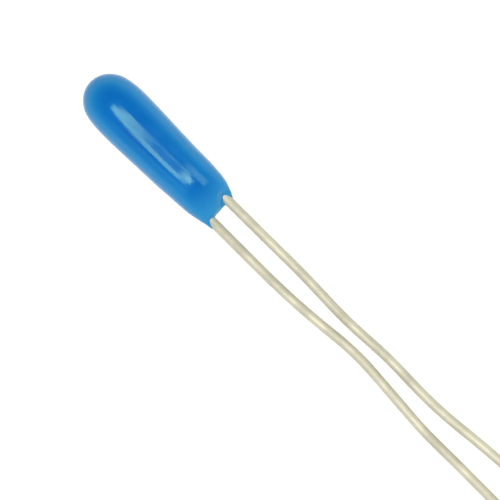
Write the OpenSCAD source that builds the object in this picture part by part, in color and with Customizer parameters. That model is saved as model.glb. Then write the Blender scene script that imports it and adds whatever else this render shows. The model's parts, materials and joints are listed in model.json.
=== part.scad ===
// Bead thermistor with two formed wire leads, at rest on the belly of its bead and on its two lead tips.
// Sizes are in millimetres and degrees.
// The part is drawn with the centre line of its bead along X, then tipped about Y until it lies on a level surface.
// The nose is at negative X. The leads leave the coating at the origin, in the XY plane, and run towards positive X.

/* [Bead coating] */
// Largest diameter of the dipped coating
bead_d = 2.56; // [2.2:0.02:3.2]
// Length from the nose to the end where the leads come out
bead_len = 7.76; // [6:0.02:10]
// Radius of the round nose
nose_r = 1.06; // [0.8:0.02:1.1]
// Radius of the arc that blends the nose into the barrel
nose_blend_r = 1.8; // [1.6:0.1:3]
// Angle between the side of the barrel and its centre line
barrel_taper = 2.1; // [0.5:0.1:3]
// Length of the rounded shoulder, seen from above
shoulder_len = 1.2; // [0.8:0.1:2]
// Length over which the coating thins towards the leads, seen from the side
pinch_len = 2.4; // [1.4:0.1:3]
// Slant of the end face across the two leads
exit_slant = 8; // [0:1:14]

/* [Coating around the leads] */
// Coating over the outer side of each lead at the end face
exit_edge = 0.08; // [0.02:0.01:0.15]
// Coating above and below the leads at the end face
exit_cover = 0.08; // [0.05:0.01:0.25]
// How far the coating creeps out of the end face along the left lead
left_creep_len = 0.05; // [0.05:0.05:0.3]
// How far the coating creeps out of the end face along the right lead
right_creep_len = 0.2; // [0.05:0.05:0.3]
// Thickness of that coating where it stops on the lead
creep_edge = 0.02; // [0.01:0.01:0.05]
// Depth inside the end face at which the coating starts to narrow along each lead
sleeve_len = 0.8; // [0.5:0.05:1]
// Thickness of the coating around each lead at that depth
sleeve_t = 0.16; // [0.12:0.01:0.2]
// Depth of the hollow between the leads in the end face
saddle_depth = 0.06; // [0.02:0.01:0.1]

/* [Leads] */
// Diameter of the tinned wire
lead_d = 0.44; // [0.3:0.01:0.5]
// Length of both leads, measured straight from the coating to the tips
lead_len = 28; // [20:0.5:40]
// Length of wire that lies across the chip
lead_seat = 1.05; // [0.6:0.05:1.1]

/* [Sensing chip] */
// Side of the square chip
chip_side = 1.2; // [0.9:0.05:1.3]
// Thickness of the bare chip, which sets the lead pitch
chip_t = 0.53; // [0.45:0.01:0.7]
// Distance from the nose to the middle of the chip
chip_from_nose = 2.1; // [1.8:0.1:3.5]
// Thickness of the electrode on each face of the chip
electrode_t = 0.03; // [0.02:0.01:0.05]
// Solder between an electrode and its lead
solder_film = 0.03; // [0.02:0.01:0.06]
// Diameter of the drop of solder around each lead
solder_d = 0.76; // [0.66:0.02:0.86]

/* [Hidden] */
$fn = 64;

bead_r = bead_d / 2;
lead_r = lead_d / 2;
lead_pitch = chip_t + 2 * (electrode_t + solder_film) + lead_d;
chip_x = chip_from_nose - bead_len;
lead_start = chip_x - lead_seat / 2;

// Bend tables, as for a wire bender: straight run, bend to the left, bend radius on the centre line.
// Runs and radii are in wire diameters, so that the forming follows the wire.
// The first run is counted from the origin. The straight tail after the last bend is worked out from the lead length.
left_bends = [
    [1.4, 0.4, 55],
    [7.2, -2.2, 52],
    [3.2, 5.2, 43],
    [2.05, -5.2, 32],
    [2.25, 7.8, 41],
    [2.05, -1.6, 45]
];
right_bends = [
    [7.3, 6.6, 75],
    [0.45, -10.9, 27],
    [5.9, 4.9, 36.5],
    [2.95, -0.8, 45]
];
// Straight wire that both leads keep outside the coating
straight_out = min(straight_run(left_bends[0]), straight_run(right_bends[0]));
// A ball this much larger all round than the wire seats each run in the next
joint_swell = 0.002;

// Outline of the coating as [distance along the centre line, radius]: nose, blend, barrel, shoulder
arc_steps = 12;
belly_x = nose_r + sqrt(pow(nose_blend_r - nose_r, 2) - pow(nose_blend_r - bead_r, 2)) - bead_len;
nose_centre = [nose_r - bead_len, 0];
blend_centre = [belly_x, bead_r - nose_blend_r];
blend_angle = atan2(nose_centre.y - blend_centre.y, nose_centre.x - blend_centre.x);
barrel_angle = 90 - barrel_taper;
barrel_start = blend_centre + nose_blend_r * [cos(barrel_angle), sin(barrel_angle)];
shoulder_start = barrel_point(-shoulder_len);
// Half width and half thickness of the coating in the end face
exit_half_w = (lead_pitch + lead_d) / 2 + exit_edge;
exit_half_t = lead_r + exit_cover;
shoulder_r = tangent_radius(shoulder_start, [0, exit_half_w]);
shoulder_centre = tangent_centre(shoulder_start, shoulder_r);
// The outline runs on past the origin, so that the slanted end face cuts all of it
cut_overlap = 0.02;
exit_run_on = exit_half_w * tan(exit_slant) + cut_overlap;
shoulder_end_angle = acos((exit_run_on - shoulder_centre.x) / shoulder_r);
bead_outline = concat(
    arc_points(nose_centre, nose_r, 180, blend_angle),
    arc_points(blend_centre, nose_blend_r, blend_angle, barrel_angle),
    arc_points(shoulder_centre, shoulder_r, barrel_angle, shoulder_end_angle)
);
// The thinning seen from the side begins this far above the barrel, so that the two surfaces cross cleanly
pinch_lift = 0.015;
pinch_start = barrel_point(-pinch_len) + [0, pinch_lift];
pinch_r = tangent_radius(pinch_start, [0, exit_half_t]);
pinch_centre = tangent_centre(pinch_start, pinch_r);
// The hollow between the leads is part of an upright cylinder, which meets the end face this far from each wire
saddle_land = 0.1;
saddle_half_w = (lead_pitch - lead_d) / 2 - saddle_land;
saddle_r = (pow(saddle_half_w, 2) + pow(saddle_depth, 2)) / (2 * saddle_depth);
// Larger than any part of the bead
clear_of_bead = 2 * bead_d;

// Steepest line from the underside of the lead tips to the outline: laid level, it has the whole bead above it
lie_angle = max([for (p = bead_outline) atan2(p.y - lead_r, lead_len - p.x)]);

coating_blue = [0.08, 0.43, 0.75];
lead_tin = [0.86, 0.83, 0.74];
chip_grey = [0.2, 0.19, 0.18];
electrode_silver = [0.8, 0.8, 0.78];
solder_grey = [0.62, 0.63, 0.64];

LEFT = 1;
RIGHT = -LEFT;
SIDES = [LEFT, RIGHT];

// Point of the barrel's straight side at a distance along the centre line
function barrel_point(x) = [x, barrel_start.y - (x - barrel_start.x) * tan(barrel_taper)];

// Radius and centre of an arc that leaves the barrel's side at p without a kink and passes through q
function tangent_radius(p, q) =
    let (along = [cos(barrel_taper), -sin(barrel_taper)], d = q - p)
    d * d / (2 * abs(cross(along, d)));
function tangent_centre(p, r) = p - r * [sin(barrel_taper), cos(barrel_taper)];

function arc_points(centre, r, from, to) =
    [for (i = [0 : arc_steps]) let (a = from + (to - from) * i / arc_steps) centre + r * [cos(a), sin(a)]];

function lead_y(side) = side * lead_pitch / 2;
// Station of the slanted end face where a lead passes through it
function exit_x(side) = -lead_y(side) * tan(exit_slant);

// How far the coating creeps out along a lead
function creep_len(side) = side == LEFT ? left_creep_len : right_creep_len;

// What a row of a bend table says
function straight_run(row) = row[0] * lead_d;
function turn(row) = row[1];
function bend_r(row) = row[2] * lead_d;

// A place on a wire is [x, y, heading]
function ahead(place, run) = [place.x + run * cos(place.z), place.y + run * sin(place.z), place.z];
// Bend radius across the wire, positive where the bend turns to the left
function signed_r(row) = sign(turn(row)) * bend_r(row);
function bend_centre(place, row) = [place.x, place.y] + signed_r(row) * [-sin(place.z), cos(place.z)];
function bent(place, row) =
    let (c = bend_centre(place, row), heading = place.z + turn(row))
    [c.x + signed_r(row) * sin(heading), c.y - signed_r(row) * cos(heading), heading];
// Places at which the straight runs begin: one for each row of the table, then one for the tail
function run_starts(side, bends) =
    [for (i = 0, place = [0, lead_y(side), 0];
          i <= len(bends);
          place = i < len(bends) ? bent(ahead(place, straight_run(bends[i])), bends[i]) : place, i = i + 1) place];
function tail_len(place) = (lead_len - place.x) / cos(place.z);

epoxy_coating();
left_lead();
right_lead();
thermistor_chip();
left_electrode();
right_electrode();
left_solder_joint();
right_solder_joint();

// Tips the part about Y until its bead and its lead tips lie on one level surface
module laid() {
    rotate([0, lie_angle, 0]) children();
}

// Dipped coating, moulded around everything that it seals in
module epoxy_coating() {
    color(coating_blue) laid() difference() {
        union() {
            bead_shape();
            for (side = SIDES) lead_sleeve(side);
        }
        chip_with_electrodes();
        for (side = SIDES) {
            solder_drop(side);
            lead_bore(side);
        }
    }
}

module left_lead() {
    color(lead_tin) laid() formed_lead(LEFT, left_bends);
}

module right_lead() {
    color(lead_tin) laid() formed_lead(RIGHT, right_bends);
}

module thermistor_chip() {
    color(chip_grey) laid() translate([chip_x, 0, 0]) cube([chip_side, chip_t, chip_side], center = true);
}

module left_electrode() {
    color(electrode_silver) laid() electrode(LEFT);
}

module right_electrode() {
    color(electrode_silver) laid() electrode(RIGHT);
}

module left_solder_joint() {
    color(solder_grey) laid() solder_joint(LEFT);
}

module right_solder_joint() {
    color(solder_grey) laid() solder_joint(RIGHT);
}

// Turned outline of the coating, thinned from above and below and cut off at a slant
module bead_shape() {
    difference() {
        rotate([0, 90, 0]) rotate_extrude() polygon([
            [0, bead_outline[0].x],
            for (p = bead_outline) [max(p.y, 0), p.x],
            [0, exit_run_on]
        ]);
        for (flip = [0, 1]) mirror([0, 0, flip]) pinch_cut();
        rotate([0, 0, exit_slant]) {
            translate([0, -clear_of_bead / 2, -clear_of_bead / 2]) cube(clear_of_bead);
            translate([saddle_r - saddle_depth, 0, 0]) cylinder(r = saddle_r, h = clear_of_bead, center = true);
        }
    }
}

// What lies above the arc along which the coating thins towards the leads
module pinch_cut() {
    rotate([90, 0, 0]) linear_extrude(height = clear_of_bead, center = true) difference() {
        translate([pinch_start.x, 0]) square([pinch_len + clear_of_bead, clear_of_bead]);
        translate(pinch_centre) circle(r = pinch_r);
    }
}

// Coating that narrows along a lead and creeps out of the end face on it
module lead_sleeve(side) {
    translate([exit_x(side) - sleeve_len, lead_y(side), 0]) rotate([0, 90, 0])
        cylinder(r1 = lead_r + sleeve_t, r2 = lead_r + creep_edge, h = sleeve_len + creep_len(side));
}

// Room for the straight wire from the chip to outside the coating
module lead_bore(side) {
    translate([lead_start, lead_y(side), 0]) wire(straight_out - lead_start);
}

module chip_with_electrodes() {
    translate([chip_x, 0, 0]) cube([chip_side, chip_t + 2 * electrode_t, chip_side], center = true);
}

module electrode(side) {
    translate([chip_x, side * (chip_t + electrode_t) / 2, 0])
        cube([chip_side, electrode_t, chip_side], center = true);
}

// Round drop on the wire, flat where it meets the electrode
module solder_drop(side) {
    difference() {
        translate([chip_x, lead_y(side), 0]) sphere(d = solder_d);
        chip_with_electrodes();
    }
}

module solder_joint(side) {
    difference() {
        solder_drop(side);
        lead_bore(side);
    }
}

// Straight wire along X
module wire(run) {
    rotate([0, 90, 0]) cylinder(d = lead_d, h = run);
}

// Wire from the chip to the tip, bent by the rows of a table
module formed_lead(side, bends) {
    starts = run_starts(side, bends);
    tail = starts[len(bends)];
    at([lead_start, lead_y(side), 0]) wire(straight_run(bends[0]) - lead_start);
    for (i = [1 : len(bends) - 1]) at(starts[i]) wire(straight_run(bends[i]));
    for (i = [0 : len(bends) - 1]) bend(ahead(starts[i], straight_run(bends[i])), bends[i]);
    at(tail) wire(tail_len(tail));
}

module at(place) {
    translate([place.x, place.y, 0]) rotate([0, 0, place.z]) children();
}

// Elbow from a place on the wire, with a ball in each of its ends
module bend(place, row) {
    first = turn(row) > 0 ? place.z - 90 : place.z + 90 + turn(row);
    translate(concat(bend_centre(place, row), 0)) rotate([0, 0, first])
        rotate_extrude(angle = abs(turn(row))) translate([bend_r(row), 0]) circle(d = lead_d);
    for (end = [place, bent(place, row)]) at(end) sphere(d = lead_d + 2 * joint_swell);
}
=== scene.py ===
import json
import math

import bmesh
import bpy
from mathutils import Matrix, Vector


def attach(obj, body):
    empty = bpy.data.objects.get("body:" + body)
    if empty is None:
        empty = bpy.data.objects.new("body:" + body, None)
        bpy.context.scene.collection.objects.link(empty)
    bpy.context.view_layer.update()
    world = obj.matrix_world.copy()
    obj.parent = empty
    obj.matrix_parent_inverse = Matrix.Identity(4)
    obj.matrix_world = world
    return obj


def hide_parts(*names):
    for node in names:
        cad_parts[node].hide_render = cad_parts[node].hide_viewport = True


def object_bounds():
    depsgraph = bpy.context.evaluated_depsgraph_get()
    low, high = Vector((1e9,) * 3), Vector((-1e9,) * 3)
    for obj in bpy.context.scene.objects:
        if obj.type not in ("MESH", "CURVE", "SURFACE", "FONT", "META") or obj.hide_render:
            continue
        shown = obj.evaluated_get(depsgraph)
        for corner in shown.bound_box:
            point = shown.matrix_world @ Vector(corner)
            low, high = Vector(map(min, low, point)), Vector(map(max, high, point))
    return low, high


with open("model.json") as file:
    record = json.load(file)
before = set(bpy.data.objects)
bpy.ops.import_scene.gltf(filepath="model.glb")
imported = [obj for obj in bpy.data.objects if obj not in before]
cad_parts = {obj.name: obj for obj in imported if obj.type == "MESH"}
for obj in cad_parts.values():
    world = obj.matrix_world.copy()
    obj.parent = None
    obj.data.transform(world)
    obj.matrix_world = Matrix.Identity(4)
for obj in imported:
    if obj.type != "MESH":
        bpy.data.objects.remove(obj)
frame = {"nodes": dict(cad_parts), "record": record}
cad_low, cad_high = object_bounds()

# Lengths below are in millimetres on the bead's own axes: X along its centre line, from the nose
# towards the leads, Z up, and zero where the leads leave the coating.
MM = 0.001
BEAD_LEN = 7.76
LEAD_D = 0.44
# Radius of the wire as drawn, which leaves room for its cage inside the solid's box
LEAD_R = 0.212
LEAD_LEN = 28
# Inner end of both wires, beside the chip
LEAD_START = -6.185
LEFT, RIGHT = 1, -1
# Where each wire leaves the coating, across the bead
LEAD_Y = {LEFT: 0.533, RIGHT: -0.568}

# Bend tables of the two leads: straight run, bend to the left in degrees, bend radius.
# Runs and radii are in wire diameters, and the first run starts where the leads leave the coating.
LEFT_BENDS = (
    (1.4, 0.4, 55), (7.2, -2.2, 52), (3.2, 5.2, 43),
    (2.05, -5.2, 32), (2.25, 7.8, 41), (2.05, -1.6, 45),
)
RIGHT_BENDS = ((7.3, 6.6, 75), (0.45, -10.9, 27), (5.9, 4.9, 36.5), (2.95, -0.8, 45))

# Sections of the coating: distance from the nose, half width, height above the centre line,
# depth below it, roundness (2 is an ellipse, more is squarer).
SECTIONS = (
    (0.46, 0.894, 0.875, 0.873, 2.0),
    (0.64, 1.021, 0.998, 0.995, 2.0),
    (0.86, 1.126, 1.104, 1.100, 2.0),
    (1.12, 1.192, 1.180, 1.175, 2.0),
    (1.42, 1.238, 1.228, 1.224, 2.0),
    (1.78, 1.262, 1.250, 1.247, 2.0),
    (2.26, 1.266, 1.256, 1.246, 2.0),
    (2.76, 1.254, 1.256, 1.231, 2.0),
    (3.16, 1.240, 1.254, 1.219, 2.0),
    (3.46, 1.226, 1.248, 1.210, 2.0),
    (3.86, 1.209, 1.236, 1.197, 2.0),
    (4.36, 1.194, 1.219, 1.181, 2.0),
    (4.86, 1.176, 1.199, 1.163, 2.0),
    (5.26, 1.162, 1.181, 1.143, 2.0),
    (5.51, 1.153, 1.163, 1.121, 2.0),
    (5.76, 1.143, 1.140, 1.093, 2.0),
    (6.01, 1.134, 1.113, 1.055, 2.0),
    (6.26, 1.121, 1.078, 1.010, 2.0),
    (6.56, 1.102, 1.000, 0.935, 2.05),
    (6.82, 1.080, 0.898, 0.850, 2.1),
    (7.04, 1.046, 0.790, 0.762, 2.2),
    (7.21, 1.008, 0.689, 0.674, 2.3),
    (7.36, 0.966, 0.588, 0.578, 2.45),
    (7.48, 0.930, 0.497, 0.492, 2.6),
    (7.58, 0.903, 0.419, 0.416, 2.8),
    (7.66, 0.882, 0.348, 0.348, 3.0),
)
# Radius of the round cap in front of the first section
NOSE_R = 1.106

# Tilt of the bead's centre line from level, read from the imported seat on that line
LIE_ANGLE = math.asin(frame["record"]["mounts"][0]["axis"][2])
LAID = Matrix.Rotation(LIE_ANGLE, 4, "Y") @ Matrix.Scale(MM, 4)


def eased(value, start, end):
    """0 before start, 1 after end, and a smooth step between them."""
    share = min(max((value - start) / (end - start), 0), 1)
    return share * share * (3 - 2 * share)


def cage_swell(sides):
    """How much larger a ring of a cage is than the round that subdivision makes of it."""
    return 1 / (2 / 3 + math.cos(2 * math.pi / sides) / 3)


def ring_of(made):
    """The ring of edges at the far end of what an extrusion or a spin made."""
    edges = [g for g in made if isinstance(g, bmesh.types.BMEdge)]
    return [e for e in edges if all(v in made for v in e.verts)]


def as_piece(bm, name, node, finish, levels):
    """Lays a mesh on the bead's axes down as a smooth piece that stands for a CAD node."""
    bmesh.ops.recalc_face_normals(bm, faces=bm.faces)
    bmesh.ops.transform(bm, matrix=LAID, verts=bm.verts)
    for face in bm.faces:
        face.smooth = True
    mesh = bpy.data.meshes.new(name)
    bm.to_mesh(mesh)
    bm.free()
    piece = bpy.data.objects.new(name, mesh)
    bpy.context.scene.collection.objects.link(piece)
    piece.data.materials.append(finish)
    rounding = piece.modifiers.new("rounding", "SUBSURF")
    rounding.levels = rounding.render_levels = levels
    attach(piece, "root")
    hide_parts(node)


# Coating

COATING_LEVELS = 2
# Cells of the cage across the bead
END_CELLS = 8
# How far out from the middle a point of the unit cage counts as being on its rim
RIM = 0.999
# How far the middle of the lead end bulges past its rim, and how often its cage is smoothed
END_BULGE = 0.13
END_SMOOTHINGS = 20
# Radius of the opening for each wire
COLLAR_R = 0.275
# Radii of the coating's edge on a wire and of the tuck below it, as shares of the wire's
EDGE_SHARE = 1.04
TUCK_SHARE = 0.78
# How far the end runs outwards and forwards beside each lead, and where across the bead
# the forward run starts and ends
OUTER_LIP = 0.035
LIP_RUN = 0.07
LIP_ACROSS = (0.68, 0.84)
# Columns and rows of the end's cells through which each lead passes
OPENINGS = {LEFT: (5, 7), RIGHT: (1, 3)}
OPENING_ROWS = (2, 6)
# How far the coating creeps onto each lead, and how much farther it does on the lead's outer side
CREEP = 0.05
OUTER_CREEP = {LEFT: 0.14, RIGHT: 0.43}
# How far the lead end drew back on the left, and where that starts and ends across
# and along the bead
DRAW = 0.1
DRAW_ACROSS = (0.22, 0.5)
DRAW_ALONG = (-1.2, 0.1)
# How much farther it drew back over the left lead: from the lead's middle outwards,
# up its sides and along the bead
OVER_LEAD_DRAW = 0.24
OVER_LEAD_ACROSS = (0.08, 0.38)
OVER_LEAD_UP = (-0.1, 0.12)
OVER_LEAD_ALONG = (-0.6, 0.0)
# How far the barrel leans to the left near the leads, and where that begins, is whole,
# fades and ends
LEAN = 0.027
LEAN_SPAN = (-2.6, -1.8, -0.7, -0.1)
# How far the nose leans to the right, and where that fades and ends
NOSE_LEAN = 0.016
NOSE_LEAN_SPAN = (-7.2, -5.8)
# Soft swellings: place along the bead, bearing in degrees from its left side over its top,
# length, spread in degrees, height
SWELLS = ((-2.1, 75, 0.6, 30, 0.006),)


def on_disc(y, z):
    """A point of the square from -1 to 1, moved into the round disc."""
    return y * math.sqrt(1 - z * z / 2), z * math.sqrt(1 - y * y / 2)


def squared(value, roundness):
    """A sine or cosine, pushed towards the corners of its section."""
    return math.copysign(abs(value) ** (2 / roundness), value)


def end_reach(y, z):
    """How far from the middle of the lead end a point is: 1 on the end's rim."""
    _, half_width, rise, _, roundness = SECTIONS[-1]
    return (abs(y / half_width) ** roundness + abs(z / rise) ** roundness) ** (1 / roundness)


def end_x(y, z):
    """Station of the rounded lead end."""
    rim = SECTIONS[-1][0] - BEAD_LEN
    return rim + END_BULGE * (1 - end_reach(y, z) ** 2) + LIP_RUN * eased(abs(y), *LIP_ACROSS)


def cage_point(x, y, z):
    """Where a point of the subdivided cube goes on the coating."""
    across, up = on_disc(y, z)
    index = round((x + 1) / 2 * (len(SECTIONS) - 1))
    from_nose, half_width, rise, drop, roundness = SECTIONS[index]
    half_thickness = rise if up > 0 else drop
    reach = math.hypot(across, up)
    if index == 0 and reach < RIM:
        polar = reach * math.asin(half_width / NOSE_R)
        ring = NOSE_R * math.sin(polar) / reach if reach else 0
        nose = NOSE_R - math.sqrt(NOSE_R ** 2 - half_width ** 2)
        depth = NOSE_R * (1 - math.cos(polar)) + from_nose - nose
        return Vector((depth - BEAD_LEN, across * ring, up * ring * half_thickness / half_width))
    swell = cage_swell(4 * END_CELLS)
    return Vector((from_nose - BEAD_LEN, half_width * swell * squared(across, roundness),
                   half_thickness * swell * squared(up, roundness)))


def opening_loop(end, side):
    """The end's vertices around one lead, in order from its outer side over its top."""
    first, last = OPENINGS[side]
    low, high = OPENING_ROWS
    outer, inner = (last, first) if side == LEFT else (first, last)
    middle = (first + last) // 2
    half_rows = (low + high) // 2
    keys = [(outer, row) for row in range(half_rows, high)]
    keys += [(outer, high), (middle, high), (inner, high)]
    keys += [(inner, row) for row in range(high - 1, low, -1)]
    keys += [(inner, low), (middle, low), (outer, low)]
    keys += [(outer, row) for row in range(low + 1, half_rows)]
    return [end[key] for key in keys]


def loop_edges(loop):
    """The edges between the vertices of a closed loop."""
    pairs = zip(loop, loop[1:] + loop[:1])
    return [next(e for e in a.link_edges if e.other_vert(a) is b) for a, b in pairs]


def collar(bm, loop, side):
    """Draws the coating out onto a lead and tucks its edge into the wire."""
    edges = loop_edges(loop)
    swell = cage_swell(len(loop))
    for wire_share, tucked in ((EDGE_SHARE, False), (TUCK_SHARE, True)):
        made = bmesh.ops.extrude_edge_only(bm, edges=edges)["geom"]
        edges = ring_of(made)
        for vert in {v for e in edges for v in e.verts}:
            spoke = Vector((0, vert.co.y - LEAD_Y[side], vert.co.z)).normalized()
            outward = max(spoke.y * side, 0)
            vert.co = Vector((vert.co.x, LEAD_Y[side], 0)) + spoke * LEAD_R * wire_share * swell
            vert.co.x += -CREEP if tucked else CREEP + OUTER_CREEP[side] * outward ** 2
    bmesh.ops.holes_fill(bm, edges=edges, sides=0)


def dipped(point):
    """The slow unevenness of a coating that set while it hung from its leads."""
    over_lead = 1 - eased(abs(point.y - LEAD_Y[LEFT]), *OVER_LEAD_ACROSS)
    draw = DRAW * eased(point.y, *DRAW_ACROSS) * eased(point.x, *DRAW_ALONG)
    over_lead *= eased(point.z, *OVER_LEAD_UP) * eased(point.x, *OVER_LEAD_ALONG)
    draw += OVER_LEAD_DRAW * over_lead
    bearing = math.degrees(math.atan2(point.z, point.y))
    swell = sum(
        height * math.exp(-((point.x - x) / length) ** 2 - ((bearing - around) / spread) ** 2)
        for x, around, length, spread, height in SWELLS
    )
    growth = 1 + swell / max(math.hypot(point.y, point.z), LEAD_R)
    point *= Vector((1, growth, growth))
    begins, whole, fades, ends = LEAN_SPAN
    point.y += LEAN * (eased(point.x, begins, whole) - eased(point.x, fades, ends))
    point.y -= NOSE_LEAN * (1 - eased(point.x, *NOSE_LEAN_SPAN))
    point.x -= draw
    return point


def epoxy_coating(finish):
    """The dipped bead: a cube subdivided, drawn over the sections and opened for the leads."""
    bm = bmesh.new()
    bmesh.ops.create_cube(bm, size=2)
    for axis, cells in enumerate((len(SECTIONS) - 1, END_CELLS, END_CELLS)):
        along = [e for e in bm.edges if abs(e.verts[0].co[axis] - e.verts[1].co[axis]) > 1]
        bmesh.ops.subdivide_edges(bm, edges=along, cuts=cells - 1)
    end = {}
    for vert in bm.verts:
        if vert.co.x > RIM:
            end[tuple(round((c + 1) / 2 * END_CELLS) for c in vert.co.yz)] = vert
        vert.co = cage_point(*vert.co)
    inside = range(1, END_CELLS)
    free = [end[i, j] for i in inside for j in inside]
    loops = {side: opening_loop(end, side) for side in OPENINGS}
    for side, loop in loops.items():
        for step, vert in enumerate(loop):
            angle = 2 * math.pi * step / len(loop)
            outward = max(math.cos(angle), 0)
            spread = COLLAR_R * math.cos(angle) + OUTER_LIP * outward ** 2
            vert.co.y = LEAD_Y[side] + side * spread
            vert.co.z = COLLAR_R * math.sin(angle)
    held = {v for loop in loops.values() for v in loop}
    loose = [v for v in free if v not in held]
    for _ in range(END_SMOOTHINGS):
        bmesh.ops.smooth_vert(bm, verts=loose, factor=0.5, use_axis_y=True, use_axis_z=True)
    for vert in free:
        vert.co.x = end_x(vert.co.y, vert.co.z)
    for vert in bm.verts:
        vert.co = dipped(vert.co)
    gone = []
    low, high = OPENING_ROWS
    for first, last in OPENINGS.values():
        middle = [end[(first + last) // 2, row] for row in range(low + 1, high)]
        gone += [f for v in middle for f in v.link_faces]
    bmesh.ops.delete(bm, geom=list(set(gone)), context="FACES")
    for side, loop in loops.items():
        collar(bm, loop, side)
    as_piece(bm, "dipped_epoxy_coating", "epoxy_coating", finish, COATING_LEVELS)


# Leads

WIRE_LEVELS = 1
WIRE_SIDES = 32
# Rings of the cage along the wire inside the coating, a straight run, a bend and the tail
INNER_STEPS, RUN_STEPS, BEND_STEPS, TAIL_STEPS = 8, 2, 4, 12
# Rounding of the cut tip's edge and its steps
CUT_EDGE = 0.03
CUT_STEPS = 2


def run_on(bm, ring, heading, length, steps):
    """Draws the wire's last ring straight on."""
    for _ in range(steps):
        made = bmesh.ops.extrude_edge_only(bm, edges=ring)["geom"]
        verts = [g for g in made if isinstance(g, bmesh.types.BMVert)]
        ring = ring_of(made)
        bmesh.ops.translate(bm, verts=verts, vec=heading * (length / steps))
    return ring


def formed_lead(side, bends, name, node, finish):
    """Draws a wire from the chip to its cut tip and bends it by its table."""
    bm = bmesh.new()
    start = Vector((LEAD_START, LEAD_Y[side], 0))
    upright = Matrix.Translation(start) @ Matrix.Rotation(math.pi / 2, 4, "Y")
    bmesh.ops.create_circle(bm, cap_ends=True, segments=WIRE_SIDES,
                            radius=LEAD_R * cage_swell(WIRE_SIDES), matrix=upright)
    ring = list(bm.edges)
    place, heading = start, Vector((1, 0, 0))
    for index, (run, bend, radius) in enumerate(bends):
        run, radius = run * LEAD_D, radius * LEAD_D
        run -= LEAD_START if index == 0 else 0
        ring = run_on(bm, ring, heading, run, INNER_STEPS if index == 0 else RUN_STEPS)
        place = place + heading * run
        to_centre = Vector((-heading.y, heading.x, 0)) * math.copysign(radius, bend)
        verts = list({v for e in ring for v in e.verts})
        spun = bmesh.ops.spin(bm, geom=verts + ring, cent=place + to_centre, axis=(0, 0, 1),
                              angle=math.radians(bend), steps=BEND_STEPS)
        ring = ring_of(spun["geom_last"])
        turn = Matrix.Rotation(math.radians(bend), 3, "Z")
        place = place + to_centre - turn @ to_centre
        heading = turn @ heading
    tail = (LEAD_LEN - place.x) / heading.x
    ring = run_on(bm, ring, heading, tail, TAIL_STEPS)
    bmesh.ops.holes_fill(bm, edges=ring, sides=0)
    bmesh.ops.bevel(bm, geom=ring, offset=CUT_EDGE, segments=CUT_STEPS, profile=0.5,
                    affect="EDGES", material=-1)
    as_piece(bm, name, node, finish, WIRE_LEVELS)


# Finishes

# Sockets of a Mix node that mixes colours
MIX_FACTOR, MIX_A, MIX_B, MIX_RESULT = 0, 6, 7, 2


class Term:
    """One socket of a finish's nodes. Arithmetic on it adds Math nodes."""

    def __init__(self, tree, socket=None):
        self.tree = tree
        self.socket = socket

    def add(self, kind, settings=None, inputs=None, output=0):
        """Adds a node: its settings first, then the values or links of its inputs."""
        node = self.tree.nodes.new("ShaderNode" + kind)
        for key, value in (settings or {}).items():
            setattr(node, key, value)
        for key, value in (inputs or {}).items():
            if isinstance(value, Term):
                self.tree.links.new(value.socket, node.inputs[key])
            else:
                node.inputs[key].default_value = value
        return Term(self.tree, node.outputs[output] if node.outputs else None)

    def maths(self, operation, first, second):
        """A Math node on two values."""
        return self.add("Math", {"operation": operation}, {0: first, 1: second})

    def __add__(self, other):
        return self.maths("ADD", self, other)

    __radd__ = __add__

    def __mul__(self, other):
        return self.maths("MULTIPLY", self, other)

    __rmul__ = __mul__

    def between(self, low, high, to_low=0.0, to_high=1.0):
        """This value, stretched so that low to high becomes to_low to to_high, and held there."""
        limits = {"From Min": low, "From Max": high, "To Min": to_low, "To Max": to_high}
        return self.add("MapRange", inputs={"Value": self, **limits})

    def mixed(self, first, second):
        """The colour between two, with this value as the share of the second."""
        sockets = {MIX_FACTOR: self, MIX_A: first, MIX_B: second}
        return self.add("Mix", {"data_type": "RGBA"}, sockets, MIX_RESULT)

    def mottle(self, scale, detail=2.0, roughness=0.5, stretch=(1, 1, 1)):
        """Soft noise on this vector, with scale in spots to the millimetre."""
        spots = tuple(scale / MM * share for share in stretch)
        place = self.add("Mapping", inputs={"Vector": self, "Scale": spots})
        look = {"Scale": 1.0, "Detail": detail, "Roughness": roughness}
        return self.add("TexNoise", inputs={"Vector": place, **look})

    def raised(self, distance):
        """The bump that this value makes as a height, in millimetres."""
        return self.add("Bump", inputs={"Strength": 1.0, "Distance": distance * MM, "Height": self})

    def part(self, axis):
        """One axis of this vector."""
        return self.add("SeparateXYZ", inputs={"Vector": self}, output=axis)


def new_finish(name):
    """An empty material and the object coordinates in its nodes."""
    material = bpy.data.materials.new(name)
    material.use_nodes = True
    material.node_tree.nodes.clear()
    return material, Term(material.node_tree).add("TexCoord", output="Object")


def surfaced(material, place, **inputs):
    """Ends a finish in one Principled shader."""
    sockets = {key.replace("_", " "): value for key, value in inputs.items()}
    place.add("OutputMaterial", inputs={"Surface": place.add("BsdfPrincipled", inputs=sockets)})
    return material


# Painted light: heights above the centre line at which the epoxy's colour starts to pale down the
# bead's flanks, standing for light from low down and the bright table's reflection there, and at
# which it is palest
PAINTED_FLANK_LIGHT = (1.17, 0.84)
# Along the bead: where these heights start to sink towards the leads, and how far they sink
PAINTED_LIGHT_SINK_FROM = -1.8
PAINTED_LIGHT_SINK = 0.45
# Painted light: along the bead, where the epoxy's colour starts to pale towards the leads, standing
# for the bright surroundings reflected on the slopes there, and where it is palest, and the share
# of the pale colour there
PAINTED_END_LIGHT = (-1.4, -0.1)
PAINTED_END_LIGHT_SHARE = 0.7


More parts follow.
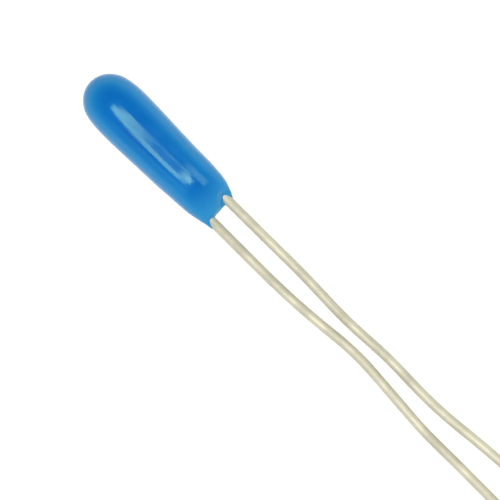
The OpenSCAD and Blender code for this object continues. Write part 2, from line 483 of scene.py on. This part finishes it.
def blue_epoxy():
    """Glossy pigmented epoxy, with painted light: its colour pales down the flanks and towards the
    leads, where light from low down and the bright surroundings' reflection fall.
    """
    material, place = new_finish("dipped_blue_epoxy")
    cloud = place.mottle(0.9, 3.0).between(0.3, 0.7)
    along = place.part("X")
    above = place.part("Z") + along * math.tan(LIE_ANGLE)
    colour = cloud.mixed((0.0012, 0.12, 0.43, 1), (0.003, 0.142, 0.47, 1))
    # Painted light: the flanks are paled by height, standing for light from low down and the bright
    # table's reflection
    painted_light_sink = along.between(PAINTED_LIGHT_SINK_FROM * MM, 0.0, 0.0, PAINTED_LIGHT_SINK * MM)
    painted_flank_light = (above + painted_light_sink).between(*(height * MM for height in PAINTED_FLANK_LIGHT))
    colour = painted_flank_light.mixed(colour, (0.008, 0.21, 0.522, 1))
    speck = place.mottle(9.0, 2.0).between(0.62, 0.75, 0.0, 0.3)
    colour = speck.mixed(colour, (0.008, 0.2, 0.54, 1))
    # Painted reflection: paler towards the leads, standing for the bright surroundings reflected on
    # the slopes there
    painted_end_light = along.between(*(station * MM for station in PAINTED_END_LIGHT), 0.0, PAINTED_END_LIGHT_SHARE)
    colour = painted_end_light.mixed(colour, (0.03, 0.252, 0.515, 1))
    peel = 0.12 * place.mottle(3.2, 0.0) + place.mottle(0.8, 1.0, 0.5, (0.6, 1, 1))
    matt = place.mottle(1.2, 0.0).between(0.3, 0.7, 0.135, 0.18)
    return surfaced(material, place, Base_Color=colour, Roughness=matt, IOR=1.4,
                    Specular_Tint=(0.48, 1, 0.5, 1), Normal=peel.raised(0.022))


def tinned_copper():
    """Matt tin on drawn wire: warm, faintly streaked along it and blotched where the tin ran."""
    material, place = new_finish("tinned_wire")
    streaks = place.mottle(1.0, 3.0, 0.6, (0.25, 14, 14))
    blotch = place.mottle(1.1, 4.0, 0.6, (0.7, 1, 1))
    dull = blotch.between(0.38, 0.66)
    colour = dull.mixed((0.625, 0.6, 0.46, 1), (0.508, 0.487, 0.373, 1))
    colour = streaks.between(0.35, 0.7, 0.0, 0.3).mixed(colour, (0.69, 0.665, 0.53, 1))
    matt = 0.52 + 0.16 * dull
    height = streaks + 0.5 * place.mottle(6.0, 2.0)
    return surfaced(material, place, Base_Color=colour, Metallic=0.3, Roughness=matt,
                    IOR=1.3, Specular_Tint=(0.5, 0.48, 0.42, 1), Normal=height.raised(0.004))


def sintered_oxide():
    """Dark fired ceramic with fine pores."""
    material, place = new_finish("sintered_oxide")
    grain = place.mottle(14.0, 4.0, 0.65)
    colour = grain.between(0.3, 0.7).mixed((0.028, 0.026, 0.025, 1), (0.075, 0.07, 0.066, 1))
    matt = grain.between(0.2, 0.8, 0.7, 0.9)
    return surfaced(material, place, Base_Color=colour, Roughness=matt, Normal=grain.raised(0.01))


def fired_silver():
    """Screen-printed silver, matt and slightly grainy."""
    material, place = new_finish("fired_silver")
    grain = place.mottle(18.0, 3.0)
    colour = grain.between(0.3, 0.7).mixed((0.62, 0.61, 0.58, 1), (0.8, 0.79, 0.76, 1))
    matt = grain.between(0.2, 0.8, 0.4, 0.6)
    return surfaced(material, place, Base_Color=colour, Metallic=0.9, Roughness=matt,
                    Normal=grain.raised(0.003))


def set_solder():
    """Solder that set with a faintly frosted skin."""
    material, place = new_finish("set_solder")
    frost = place.mottle(7.0, 4.0, 0.6)
    colour = frost.between(0.3, 0.7).mixed((0.5, 0.5, 0.5, 1), (0.7, 0.7, 0.69, 1))
    matt = frost.between(0.2, 0.8, 0.22, 0.42)
    return surfaced(material, place, Base_Color=colour, Metallic=0.95, Roughness=matt,
                    Normal=frost.raised(0.005))


def white_top():
    """The pale table, bright enough to leave almost no shadow."""
    material, place = new_finish("white_table_top")
    paper = place.mottle(0.02, 3.0)
    colour = paper.between(0.3, 0.7).mixed((0.36, 0.36, 0.36, 1), (0.4, 0.4, 0.4, 1))
    return surfaced(material, place, Base_Color=colour, Roughness=0.9, Emission_Color=(1, 1, 1, 1),
                    Emission_Strength=0.8)


# Studio

# Radius of the table and height of the lamps, in metres
TABLE_R = 1.0
LIGHT_HEIGHT = 0.3
TABLE_SIDES = 96
# Strength of the surroundings overhead, what the horizon adds to it, and the height,
# as the sine of the elevation, at which that ends
OVERHEAD_GLOW = 0.1
HORIZON_GLOW = 0.84
HORIZON_TOP = 0.75
# Lamps: name, limits along and across the bead in degrees from straight above its middle,
# radiance
LAMPS = (
    ("nose_panel", (-4.8, 2.2), (-27.6, 14.3), 10),
    ("nose_strip", (-12.2, -4.8), (-21.5, -0.5), 9.5),
    ("long_strip", (1.6, 15.2), (-36, -19), 9),
    ("inner_strip", (2.2, 4.6), (-19, -14), 7),
    ("tail_strip", (11, 14), (-19, 18), 12),
    ("tail_tip", (14, 17.8), (-17, 8), 13),
    ("tail_arm", (6.5, 11), (13, 20), 6),
    ("second_strip", (3, 5), (9, 19), 3),
    ("far_strip", (9, 37), (22, 51), 3.5),
    ("side_glow", (-3, 30), (-66, -48), 0.8),
)
# Camera: width and middle of what it sees on the bead's axes, turn of its frame in degrees,
# lens and sensor
FRAME_WIDTH = 21.19
FRAME_CENTRE = (2.078, -0.292)
FRAME_TURN = 45
LENS = 200
SENSOR = 36


def table(finish):
    """The round table that the part lies on."""
    bm = bmesh.new()
    bmesh.ops.create_circle(bm, cap_ends=True, cap_tris=True, segments=TABLE_SIDES, radius=TABLE_R,
                            matrix=Matrix.Translation((0, 0, cad_low.z)))
    mesh = bpy.data.meshes.new("white_table")
    bm.to_mesh(mesh)
    bm.free()
    top = bpy.data.objects.new("white_table", mesh)
    bpy.context.scene.collection.objects.link(top)
    mesh.materials.append(finish)


def dim_studio():
    """Surroundings that are bright near the table and dim overhead."""
    world = bpy.data.worlds.new("dim_studio")
    world.use_nodes = True
    world.node_tree.nodes.clear()
    around = Term(world.node_tree).add("TexCoord", output="Generated")
    low = around.part("Z").between(0.0, HORIZON_TOP, 1.0, 0.0)
    strength = OVERHEAD_GLOW + HORIZON_GLOW * low * low
    glow = around.add("Background", inputs={"Color": (1, 1, 1, 1), "Strength": strength})
    around.add("OutputWorld", inputs={"Surface": glow})
    return world


def soft_light(name, along, across, radiance):
    """A flat lamp above the bead, between its limits along and across."""
    middle = Vector((-BEAD_LEN / 2 * MM, 0, 0))
    x0, x1 = (LIGHT_HEIGHT * math.tan(math.radians(a)) for a in along)
    y0, y1 = (LIGHT_HEIGHT * math.tan(math.radians(a)) for a in across)
    lamp = bpy.data.lights.new(name, "AREA")
    lamp.shape = "RECTANGLE"
    lamp.size, lamp.size_y = x1 - x0, y1 - y0
    lamp.energy = radiance * math.pi * lamp.size * lamp.size_y
    lit = bpy.data.objects.new(name, lamp)
    lit.location = middle + Vector(((x0 + x1) / 2, (y0 + y1) / 2, LIGHT_HEIGHT))
    bpy.context.scene.collection.objects.link(lit)


def studio():
    """The table, the surroundings and the lamps."""
    scene = bpy.context.scene
    scene.view_settings.view_transform = "Standard"
    scene.world = dim_studio()
    table(white_top())
    for lamp in LAMPS:
        soft_light(*lamp)


def camera():
    """Looks straight down at the part, as the photograph does."""
    shot = bpy.data.cameras.new("photo_view")
    shot.lens = LENS
    shot.sensor_width = SENSOR
    shot.clip_start = MM
    holder = bpy.data.objects.new("photo_view", shot)
    aim = LAID @ Vector((*FRAME_CENTRE, 0))
    holder.location = aim + Vector((0, 0, FRAME_WIDTH * MM * LENS / SENSOR))
    holder.rotation_euler = (0, 0, math.radians(FRAME_TURN))
    bpy.context.scene.collection.objects.link(holder)
    bpy.context.scene.camera = holder


def dress(node, finish):
    """Gives a CAD node its finish."""
    mesh = frame["nodes"][node].data
    mesh.materials.clear()
    mesh.materials.append(finish)


camera()
studio()
epoxy_coating(blue_epoxy())
wire_finish = tinned_copper()
formed_lead(LEFT, LEFT_BENDS, "left_tinned_lead", "left_lead", wire_finish)
formed_lead(RIGHT, RIGHT_BENDS, "right_tinned_lead", "right_lead", wire_finish)
dress("thermistor_chip", sintered_oxide())
silver, solder = fired_silver(), set_solder()
for hand in ("left", "right"):
    dress(hand + "_electrode", silver)
    dress(hand + "_solder_joint", solder)
